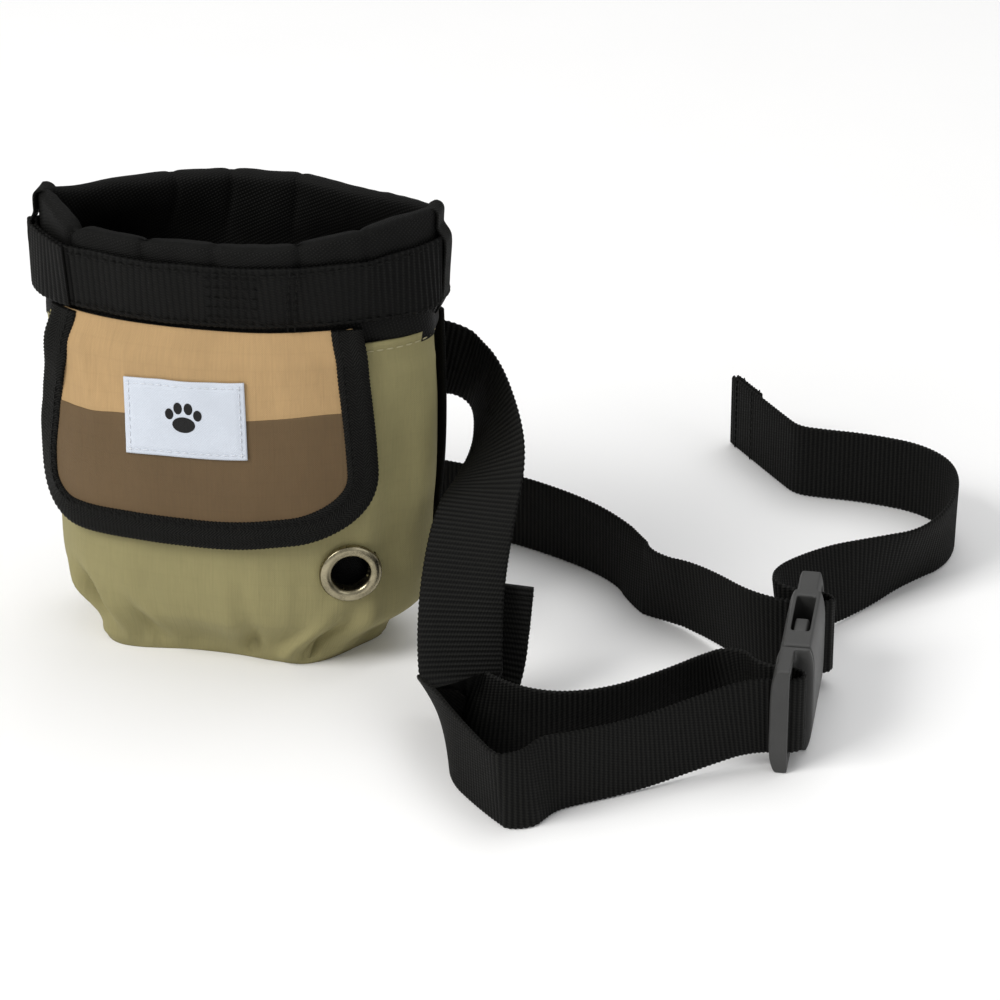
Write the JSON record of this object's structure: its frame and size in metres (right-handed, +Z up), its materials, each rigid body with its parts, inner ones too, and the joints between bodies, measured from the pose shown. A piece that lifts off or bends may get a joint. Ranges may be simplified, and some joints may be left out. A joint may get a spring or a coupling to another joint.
{
  "type": "treat pouch",
  "caption": "Belt-worn cloth treat pouch with an open rigid-rimmed mouth, a front flap over a bag-dispenser pocket with an eyelet, and a webbing belt with a side-release buckle.",
  "frame": {"origin": "middle of the pouch's base, on the surface that it stands on", "axes": "+Z up, flap and pocket face -Y, +X to the right of someone facing the flap"},
  "size_m": [0.2716, 0.2365, 0.141],
  "materials": {
    "olive_cloth": "olive ripstop nylon",
    "sand_cloth": "sand nylon",
    "brown_cloth": "brown nylon",
    "black_cloth": "black coated weave",
    "black_lining": "black lining",
    "webbing": "ribbed black webbing",
    "binding_tape": "black herringbone tape",
    "label_cloth": "pale woven label",
    "hook_and_loop": "black hook and loop tape",
    "stiffener": "flexible sheet",
    "buckle_plastic": "dark grey moulded acetal",
    "eyelet_metal": "antique brass",
    "magnet_metal": "nickel plate"
  },
  "bodies": {
    "pouch": {"outer_bag": "olive_cloth", "lining": "black_lining", "bottom_panel": "stiffener", "rim_collar": "black_cloth", "collar_webbing": "webbing", "side_binding_left": "binding_tape", "side_binding_right": "binding_tape", "front_pocket": "olive_cloth", "pocket_loop_patch": "hook_and_loop", "eyelet_front": "eyelet_metal", "eyelet_washer": "eyelet_metal", "rim_magnet_front": "magnet_metal", "rim_magnet_back": "magnet_metal", "belt_loop_left": "webbing", "belt_loop_right": "webbing", "belt_through_loops": "webbing", "buckle_male": "buckle_plastic", "belt_near_drop": "webbing", "belt_near_run": "webbing", "belt_near_adjuster": "webbing", "belt_near_tail": "webbing", "belt_near_tail_end": "webbing", "belt_near_hem": "webbing", "belt_far_return": "webbing", "belt_far_run": "webbing"},
    "flap": {"flap_backing": "black_lining", "flap_upper_panel": "sand_cloth", "flap_lower_panel": "brown_cloth", "flap_binding": "binding_tape", "label": "label_cloth", "flap_hook_patch": "hook_and_loop"},
    "buckle_far_half": {"buckle_female": "buckle_plastic", "belt_far_adjuster": "webbing", "belt_far_tail": "webbing", "belt_far_hem": "webbing"},
    "prong_upper": {"buckle_prong_upper": "buckle_plastic"},
    "prong_lower": {"buckle_prong_lower": "buckle_plastic"}
  },
  "joints": [
    {"name": "flap_hinge", "type": "hinge", "parent": "pouch", "child": "flap", "pos_m": [0, -0.0318, 0.1103], "axis": [-1, 0, 0], "range_deg": [0, 150]},
    {"name": "buckle_release", "type": "slide", "parent": "pouch", "child": "buckle_far_half", "axis": [0, 1, 0], "range_m": [0, 0.025], "deforming": ["buckle_prong_upper", "buckle_prong_lower"]},
    {"name": "prong_squeeze", "type": "hinge", "parent": "pouch", "child": "prong_upper", "pos_m": [0.1705, -0.0443, 0.0252], "axis": [-1, 0, 0], "range_deg": [0, 12], "stiffness_Nm_per_rad": 0.05},
    {"name": "prong_squeeze_lower", "type": "hinge", "parent": "pouch", "child": "prong_lower", "pos_m": [0.1705, -0.0443, 0.0088], "axis": [1, 0, 0], "range_deg": [0, 12], "stiffness_Nm_per_rad": 0.05}
  ],
  "couplings": [
    {"joint": "prong_squeeze_lower", "follows": "prong_squeeze", "ratio": 1}
  ]
}
